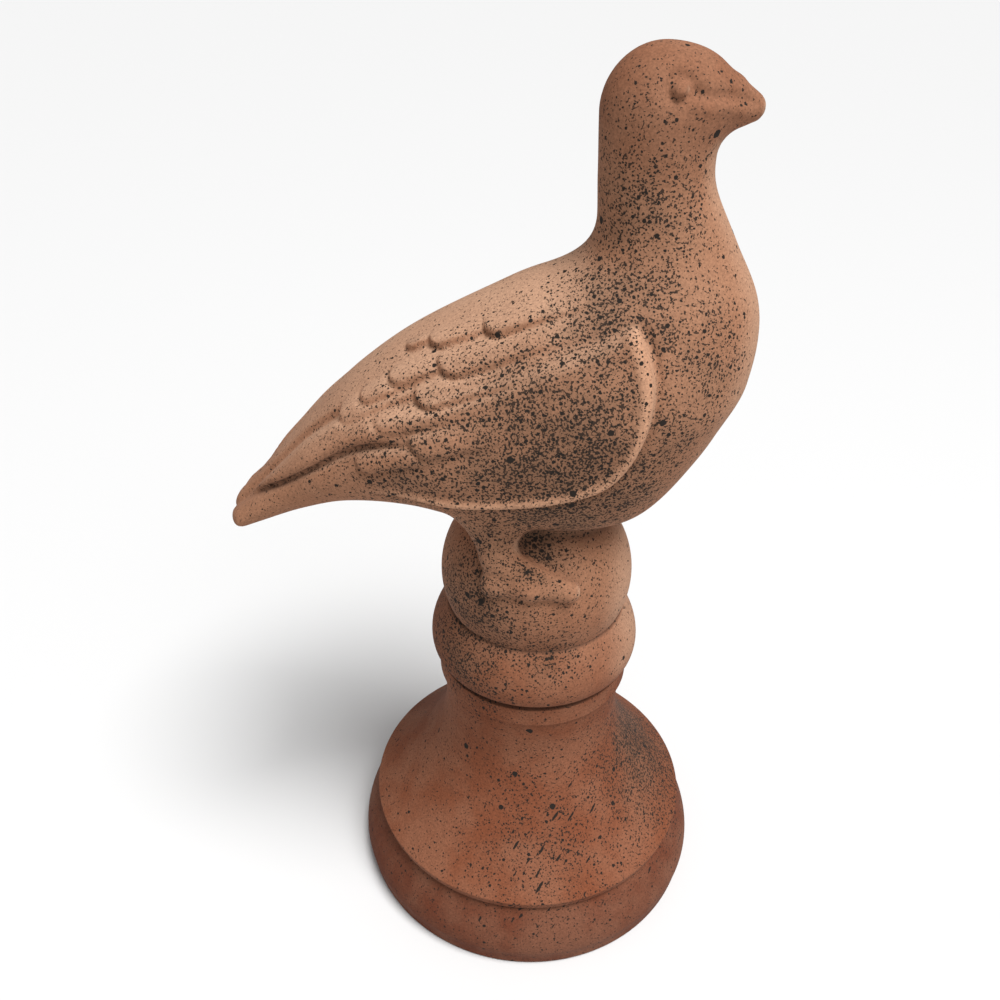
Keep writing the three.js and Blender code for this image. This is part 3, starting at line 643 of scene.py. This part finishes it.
def profile_corners():
    """The turned outline as a few (radius, height) points, from the foot's edge to the ball."""
    bell_foot, flare_end = RIM_RADIUS - RIM_ROUND, COLLAR_RADIUS - COLLAR_STEP
    corners = [(FOOT_RADIUS - FOOT_BEVEL, 0), (FOOT_RADIUS, FOOT_EDGE_Z)]
    corners += [
        (mix(PLINTH_RADIUS, FOOT_RADIUS, quarter(t)), mix(FOOT_EDGE_Z, PLINTH_WIDEST_Z, t))
        for t in np.linspace(*PLINTH_POINTS)
    ]
    corners += [
        (mix(COVE_RADIUS, PLINTH_RADIUS, quarter(t)), mix(PLINTH_WIDEST_Z, COVE_Z, t))
        for t in np.linspace(*COVE_POINTS)
    ]
    corners += [(RIM_RADIUS - RIM_INSET, RIM_Z - RIM_HEIGHT), (RIM_RADIUS, RIM_Z)]
    corners += [
        (mix(NECK_RADIUS, bell_foot, (1 - t) ** BELL_CURVE), mix(RIM_Z + RIM_ROUND, NECK_Z, t))
        for t in np.linspace(*BELL_POINTS)
    ]
    corners += [
        (mix(NECK_RADIUS, flare_end, 1 - quarter(t)), mix(NECK_Z, COLLAR_Z, t))
        for t in np.linspace(*FLARE_POINTS)
    ]
    corners += [(COLLAR_RADIUS, COLLAR_Z), (COLLAR_RADIUS, COLLAR_Z + COLLAR_HEIGHT)]
    corners += [(GROOVE_RADIUS, ROLL_LOW_Z - GROOVE_HEIGHT), (GROOVE_RADIUS, ROLL_LOW_Z)]
    corners += [
        (mix(ROLL_LOW_RADIUS, ROLL_RADIUS, quarter(1 - t)), mix(ROLL_WIDEST_Z, ROLL_LOW_Z, quarter(t)))
        for t in np.linspace(*ROLL_LOW_POINTS)
    ]
    corners += [
        (mix(ROLL_TOP_RADIUS, ROLL_RADIUS, quarter(t)), mix(ROLL_WIDEST_Z, ROLL_TOP_Z, t))
        for t in np.linspace(*ROLL_TOP_POINTS)
    ]
    return np.array(corners)


def fine_profile():
    """The outline with its edges worn round, in steps that shorten where it bends."""
    corners = profile_corners()
    run = np.concatenate([[0], np.cumsum(np.hypot(*np.diff(corners, axis=0).T))])
    fine = np.linspace(0, run[-1], int(run[-1] / FINE_STEP))
    outline = np.stack([np.interp(fine, run, corners[:, i]) for i in range(2)], 1)
    reach = int(EDGE_ROUND / FINE_STEP)
    kernel = np.hanning(2 * reach + 3)[1:-1]
    kernel /= kernel.sum()
    padded = np.pad(outline, ((reach, reach), (0, 0)), mode="edge")
    worn = np.stack([np.convolve(padded[:, i], kernel, mode="valid") for i in range(2)], 1)
    step = np.diff(worn, axis=0)
    heading = np.unwrap(np.arctan2(step[:, 1], step[:, 0]))
    bend = np.abs(np.diff(heading, prepend=heading[0]))
    effort = np.concatenate([[0], np.cumsum(np.hypot(*step.T) / PROFILE_STEP + bend / PROFILE_BEND)])
    wanted = np.linspace(0, effort[-1], int(effort[-1]) + 1)
    return np.stack([np.interp(wanted, effort, worn[:, i]) for i in range(2)], 1)


def pedestal():
    profile = fine_profile()
    angles = np.arange(PEDESTAL_SIDES) * 2 * math.pi / PEDESTAL_SIDES
    rings = len(profile)
    points = np.stack([
        profile[:, :1] * np.cos(angles),
        profile[:, :1] * np.sin(angles),
        np.repeat(profile[:, 1:], PEDESTAL_SIDES, 1),
    ], 2).reshape(-1, 3)
    points = np.vstack([points, [[0, 0, 0], [0, 0, ROLL_TOP_Z + PEDESTAL_PEAK]]])
    foot, top = rings * PEDESTAL_SIDES, rings * PEDESTAL_SIDES + 1
    last = (rings - 1) * PEDESTAL_SIDES
    faces = []
    for i in range(PEDESTAL_SIDES):
        j = (i + 1) % PEDESTAL_SIDES
        faces.append([j, i, foot])
        faces.append([last + i, last + j, top])
        for ring in range(rings - 1):
            a = ring * PEDESTAL_SIDES
            b = a + PEDESTAL_SIDES
            faces.append([a + i, a + j, b + j, b + i])
    return mesh_object("pedestal_blank", points, faces)


def build_finial():
    """The whole casting as one closed mesh."""
    points, quads = skin()
    piece = mesh_object("terracotta_pigeon_finial", points, quads.tolist())
    base = pedestal()
    join = piece.modifiers.new("join", "BOOLEAN")
    join.operation = "UNION"
    join.solver = "MANIFOLD"
    join.object = base
    bpy.context.view_layer.update()
    evaluated = piece.evaluated_get(bpy.context.evaluated_depsgraph_get())
    joined = bpy.data.meshes.new_from_object(evaluated)
    piece.modifiers.clear()
    piece.data = joined
    bpy.data.objects.remove(base)
    joined.shade_smooth()
    joined.materials.clear()
    paint(piece)
    return piece


def spots(points, normals):
    """Share that the dark spatter covers: on the flanks and the pedestal, and less on the far side."""
    x, y, z = points.T
    on_pedestal = 1 - smooth(z, *SPATTER_LEAVES_PEDESTAL)
    sideways = np.abs(normals[:, 1]) - SPATTER_LESS_IN_FRONT * normals[:, 0]
    facing = smooth(sideways, *SPATTER_FACING)
    clouds = np.zeros(len(points))
    for cloud in SPATTER_CLOUDS:
        cx, cy, cz = cloud["at"]
        for side, share in ((1, cloud["share"]), (-1, cloud["share"] * FAR_SIDE_SHARE)):
            away = np.sqrt((x - cx) ** 2 + (y - side * cy) ** 2 + (z - cz) ** 2)
            clouds = np.maximum(clouds, share * bump(away, cloud["reach"]))
    return clouds * np.maximum(facing, on_pedestal) + SPATTER_EVERYWHERE


def chalk_and_painted_light(points, normals):
    """Where the clay is paler, a bloom that is also painted light: on the back, and on what faces forward
    above the roll, the sides that the light falls on.
    """
    z = points[:, 2]
    upward = smooth(normals[:, 2], *BLOOM_AND_LIGHT_UPWARD) * smooth(z, *BLOOM_AND_LIGHT_BEGINS) * (1 - smooth(z, *BLOOM_AND_LIGHT_ENDS))
    forward = smooth(normals[:, 0], *BLOOM_AND_LIGHT_FORWARD) * smooth(z, *BLOOM_AND_LIGHT_FORWARD_BEGINS)
    return clamp(upward + BLOOM_AND_LIGHT_FORWARD_SHARE * forward, 0, 1)


def lip_highlights(points):
    """The paler lip along the edge of each wing: a painted highlight where the raised lip catches the
    light.
    """
    x, y, z = points.T
    y = np.abs(y)
    section = body_section(x, z)
    _, lip = wing_height(*unrolled(y, section))
    on_flank = 1 - smooth(np.abs(body_distance(y, section)), *FLANK_DEPTH)
    return lip * on_flank * smooth(neck_distance(x, y, z), *NECK_CLEAR)


def hollows(points, normals):
    """How deep each point sits in a crease, from 0 to 1, by how soon the surface is met again."""
    found = np.zeros(len(points))
    for reach in CREASE_REACHES:
        x, y, z = (points + normals * reach).T
        found += clamp(1 - casting_distance(x, y, z) / reach, 0, 1)
    return found / len(CREASE_REACHES)


def casting_distance(x, y, z):
    """Distance outside the whole casting, bird and pedestal."""
    profile = fine_profile()
    radius = np.hypot(x, y)
    outline = np.stack([radius, z], 1)
    wanted = z < ROLL_TOP_Z + PEDESTAL_REACH
    away = np.full(len(z), np.inf)
    tree = kdtree.KDTree(len(profile))
    for i, (r, h) in enumerate(profile):
        tree.insert((r, h, 0), i)
    tree.balance()
    away[wanted] = [tree.find((r, h, 0))[2] for r, h in outline[wanted]]
    return np.minimum(away, bird_distance(x, y, z))


def paint(piece):
    """Stores on each vertex what the clay material needs to know about its place."""
    mesh = piece.data
    count = len(mesh.vertices)
    points = np.empty(count * 3)
    normals = np.empty(count * 3)
    mesh.vertices.foreach_get("co", points)
    mesh.vertices.foreach_get("normal", normals)
    points = points.reshape(-1, 3) / MM
    normals = normals.reshape(-1, 3)
    z = points[:, 2]
    # The lip's painted highlight; spatter is also kept off it
    lip = lip_highlights(points)
    layers = {
        "spatter": spots(points, normals) * (1 - LIP_HIGHLIGHT_CLEAR * lip),
        # How deep in a crease, which the material darkens as painted shade and dirt
        "hollow": hollows(points, normals),
        # Pale bloom, partly painted light on the sides that face the light
        "chalk_and_painted_light": chalk_and_painted_light(points, normals),
        "lip": lip,
        "bird": smooth(z, *BIRD_BEGINS),
        "head": smooth(z, *HEAD_BEGINS),
        # Mask of the plinth, for its darker colour that is partly painted shade
        "plinth": 1 - smooth(z, *PLINTH_ENDS),
        "sprayed": 1 - smooth(z, *STREAKS_END),
    }
    for name, values in layers.items():
        layer = mesh.attributes.new(name, "FLOAT", "POINT")
        layer.data.foreach_set("value", values.astype(np.float32))


class Tree:
    """Short ways to add and join the nodes of one material."""

    def __init__(self, name):
        self.material = bpy.data.materials.new(name)
        self.material.use_nodes = True
        self.nodes = self.material.node_tree.nodes
        self.links = self.material.node_tree.links
        self.shader = self.nodes["Principled BSDF"]

    def add(self, kind, inputs=None, **settings):
        node = self.nodes.new(kind)
        for key, value in settings.items():
            setattr(node, key, value)
        for key, value in (inputs or {}).items():
            self.feed(node.inputs[key], value)
        return node

    def feed(self, socket, value):
        if isinstance(value, bpy.types.NodeSocket):
            self.links.new(value, socket)
        else:
            socket.default_value = value

    def attribute(self, name):
        return self.add("ShaderNodeAttribute", attribute_name=name).outputs["Fac"]

    def math(self, operation, a, b=0.0, c=0.0):
        return self.add("ShaderNodeMath", {0: a, 1: b, 2: c}, operation=operation).outputs[0]

    def ramp(self, value, low, high, out_low=0.0, out_high=1.0):
        node = self.add("ShaderNodeMapRange", {
            "Value": value, "From Min": low, "From Max": high, "To Min": out_low, "To Max": out_high,
        }, interpolation_type="SMOOTHSTEP")
        return node.outputs["Result"]

    def noise(self, place, size_mm, detail=3.0, roughness=0.55):
        return self.add("ShaderNodeTexNoise", {
            "Vector": place, "Scale": 1 / (size_mm * MM), "Detail": detail, "Roughness": roughness,
        })

    def colour_mix(self, amount, a, b, kind="MIX"):
        node = self.add("ShaderNodeMix", {"Factor": amount}, data_type="RGBA", blend_type=kind)
        self.feed(node.inputs[MIX_FIRST], a)
        self.feed(node.inputs[MIX_SECOND], b)
        return node.outputs[MIX_RESULT]

    def vector_math(self, operation, inputs):
        return self.add("ShaderNodeVectorMath", inputs, operation=operation).outputs[0]


def ragged(tree, place):
    """Places shifted a little this way and that, so that what is drawn there gets a ragged edge."""
    wobble = tree.noise(place, *WOBBLE_NOISE).outputs["Color"]
    shift = tree.vector_math("SUBTRACT", {0: wobble, 1: (0.5, 0.5, 0.5)})
    small = tree.vector_math("SCALE", {0: shift, "Scale": WOBBLE * MM})
    return tree.vector_math("ADD", {0: place, 1: small})


def dots(tree, place, kind, amount):
    """A mask of marks of mixed sizes, at most one in each cell and only in a share of the cells."""
    cell, widest = kind["cell"], kind["widest"]
    share = tree.math("MULTIPLY_ADD", amount, kind["gain"], kind["anywhere"])
    cells = tree.add("ShaderNodeTexVoronoi", {"Vector": place, "Scale": 1 / (cell * MM)})
    chance = tree.add("ShaderNodeSeparateColor", {0: cells.outputs["Color"]})
    big = tree.math("POWER", chance.outputs[1], DOT_RARITY)
    radius = tree.math("MULTIPLY_ADD", big, (1 - DOT_LEAST) * widest, DOT_LEAST * widest)
    gap = tree.math("SUBTRACT", cells.outputs["Distance"], radius)
    soft = DOT_SOFT / cell
    inside = tree.ramp(gap, -soft, soft, 1.0, 0.0)
    chosen = tree.math("LESS_THAN", chance.outputs[0], share)
    return tree.math("MULTIPLY", inside, chosen)


def spatter(tree, place, share):
    """The whole spatter: a mist of specks, dots of two sizes, blots and slanting streaks."""
    patchy = tree.ramp(tree.noise(place, *PATCH_NOISE).outputs["Fac"], *PATCH_RAMP)
    amount = tree.math("MULTIPLY", share, patchy)
    threshold = tree.math("MULTIPLY_ADD", tree.math("SQRT", amount), MIST_GAIN, MIST_LEVEL)
    speck = tree.math("SUBTRACT", tree.noise(place, *MIST_NOISE).outputs["Fac"], threshold)
    marks = tree.ramp(speck, *MIST_RAMP)
    loose = ragged(tree, place)
    turned = tree.add("ShaderNodeVectorRotate", {"Vector": loose, "Rotation": STREAK_TURN},
                      rotation_type="EULER_XYZ")
    drawn = tree.vector_math("MULTIPLY", {0: turned.outputs[0], 1: STREAK_SQUEEZE})
    sprayed = tree.math("MULTIPLY", amount, tree.attribute("sprayed"))
    layers = ((loose, SMALL_DOTS, amount), (loose, ROUND_DOTS, amount), (loose, BLOTS, amount),
              (drawn, STREAKS, sprayed))
    for where, kind, much in layers:
        marks = tree.math("MAXIMUM", marks, dots(tree, where, kind, much))
    return marks, amount


def clay_material():
    """Unglazed clay: mottled, sandy, darker in its creases as painted shade and dirt, paler where it faces
    the light as a bloom that is also painted light, with a painted highlight on the wing's lip and dark
    spatter of several sizes.
    """
    tree = Tree("terracotta")
    place = tree.add("ShaderNodeTexCoord").outputs["Object"]
    # Pedestal and plinth colours, darker towards the bottom partly as painted shade
    clay = tree.colour_mix(tree.attribute("plinth"), PEDESTAL_CLAY_AND_SHADE, PLINTH_CLAY_AND_SHADE)
    clay = tree.colour_mix(tree.attribute("bird"), clay, BIRD_CLAY)
    clay = tree.colour_mix(tree.attribute("head"), clay, HEAD_CLAY)
    cloudy = tree.ramp(tree.noise(place, *CLOUDY_NOISE).outputs["Fac"], *CLOUDY_RAMP)
    # Pale bloom, partly painted light on the surfaces that face the light, with a random cloudy paleness
    # added
    bloom_and_light = tree.math("MULTIPLY_ADD", tree.attribute("chalk_and_painted_light"), BLOOM_AND_LIGHT_SHARE, cloudy)
    clay = tree.colour_mix(bloom_and_light, clay, CHALK_AND_LIGHT_CLAY)
    # Painted highlight along the wing's lip
    clay = tree.colour_mix(tree.math("MULTIPLY", tree.attribute("lip"), LIP_HIGHLIGHT_SHARE), clay, LIP_HIGHLIGHT)
    grain = tree.noise(place, *GRAIN_NOISE).outputs["Fac"]
    sandy = tree.ramp(grain, *SANDY_RAMP)
    sand = tree.add("ShaderNodeCombineColor", {0: sandy, 1: sandy, 2: sandy}).outputs[0]
    clay = tree.colour_mix(1.0, clay, sand, "MULTIPLY")
    # Painted shade and dirt: darker the deeper the point sits in a crease
    clay = tree.colour_mix(tree.ramp(tree.attribute("hollow"), *DIRT_AND_SHADE_RAMP), clay, CREASE_DIRT_AND_SHADE)
    marks, amount = spatter(tree, place, tree.attribute("spatter"))
    clay = tree.colour_mix(tree.ramp(amount, *HAZE_RAMP), clay, SPATTER_HAZE)
    clay = tree.colour_mix(marks, clay, SPATTER_DARK)
    tree.feed(tree.shader.inputs["Base Color"], clay)

    tree.shader.inputs["Roughness"].default_value = CLAY_ROUGHNESS
    tree.shader.inputs["Specular IOR Level"].default_value = CLAY_SPECULAR
    lumps = tree.noise(place, *LUMP_NOISE).outputs["Fac"]
    height = tree.math("MULTIPLY_ADD", lumps, LUMP_HEIGHT, tree.math("MULTIPLY", grain, GRAIN_HEIGHT))
    uneven = tree.add("ShaderNodeBump", {
        "Height": height, "Distance": BUMP_DISTANCE * MM, "Strength": BUMP_STRENGTH,
    })
    tree.feed(tree.shader.inputs["Normal"], uneven.outputs["Normal"])
    return tree.material


def floor():
    bpy.ops.mesh.primitive_plane_add(size=FLOOR_SIZE)
    plane = bpy.context.object
    plane.name = "floor"
    material = bpy.data.materials.new("floor")
    material.use_nodes = True
    shader = material.node_tree.nodes["Principled BSDF"]
    shader.inputs["Base Color"].default_value = FLOOR_COLOUR
    shader.inputs["Roughness"].default_value = FLOOR_ROUGHNESS
    plane.data.materials.append(material)


def area_light(name, place, target, size, power):
    light = bpy.data.lights.new(name, "AREA")
    light.size = size
    light.energy = power
    lamp = bpy.data.objects.new(name, light)
    lamp.location = place
    lamp.rotation_euler = (Vector(target) - Vector(place)).to_track_quat("-Z", "Y").to_euler()
    bpy.context.scene.collection.objects.link(lamp)


def lights():
    """Soft light from above and the right, with a nearer lamp that favours the bird."""
    area_light("lamp", LAMP_PLACE, LAMP_TARGET, LAMP_SIZE, LAMP_POWER)
    sun = bpy.data.lights.new("key", "SUN")
    sun.energy = SUN_STRENGTH
    sun.angle = SUN_SOFTNESS
    key = bpy.data.objects.new("key", sun)
    key.rotation_euler = Vector(SUN_HEADING).to_track_quat("-Z", "Y").to_euler()
    bpy.context.scene.collection.objects.link(key)
    world = bpy.data.worlds.new("studio")
    bpy.context.scene.world = world
    world.use_nodes = True
    background = world.node_tree.nodes["Background"]
    background.inputs["Color"].default_value = WORLD_COLOUR
    background.inputs["Strength"].default_value = WORLD_STRENGTH
    bpy.context.scene.view_settings.view_transform = "Standard"


def camera():
    """Camera at the photo's viewing angle, from its pitch, pan and roll."""
    data = bpy.data.cameras.new("camera")
    data.lens = LENS
    data.sensor_width = SENSOR
    data.clip_start = CLIP_START
    eye = bpy.data.objects.new("camera", data)
    pitch = Matrix.Rotation(math.pi / 2 - CAMERA_PITCH, 4, "X")
    pan = Matrix.Rotation(CAMERA_PAN, 4, "Z")
    roll = Matrix.Rotation(CAMERA_ROLL, 4, "Z")
    place = Matrix.Translation((0, -CAMERA_BACK * MM, CAMERA_UP * MM))
    eye.matrix_world = place @ pan @ pitch @ roll
    bpy.context.scene.collection.objects.link(eye)
    bpy.context.scene.camera = eye


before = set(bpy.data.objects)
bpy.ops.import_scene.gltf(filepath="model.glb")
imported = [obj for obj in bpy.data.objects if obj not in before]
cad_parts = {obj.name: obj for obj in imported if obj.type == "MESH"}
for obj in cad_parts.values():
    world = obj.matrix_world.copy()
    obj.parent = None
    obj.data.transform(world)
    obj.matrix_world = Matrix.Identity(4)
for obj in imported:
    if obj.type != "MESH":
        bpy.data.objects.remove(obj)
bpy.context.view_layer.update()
camera()
finial = build_finial()
finial.data.materials.append(clay_material())
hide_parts("pigeon_finial")
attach(finial, "root")
floor()
lights()
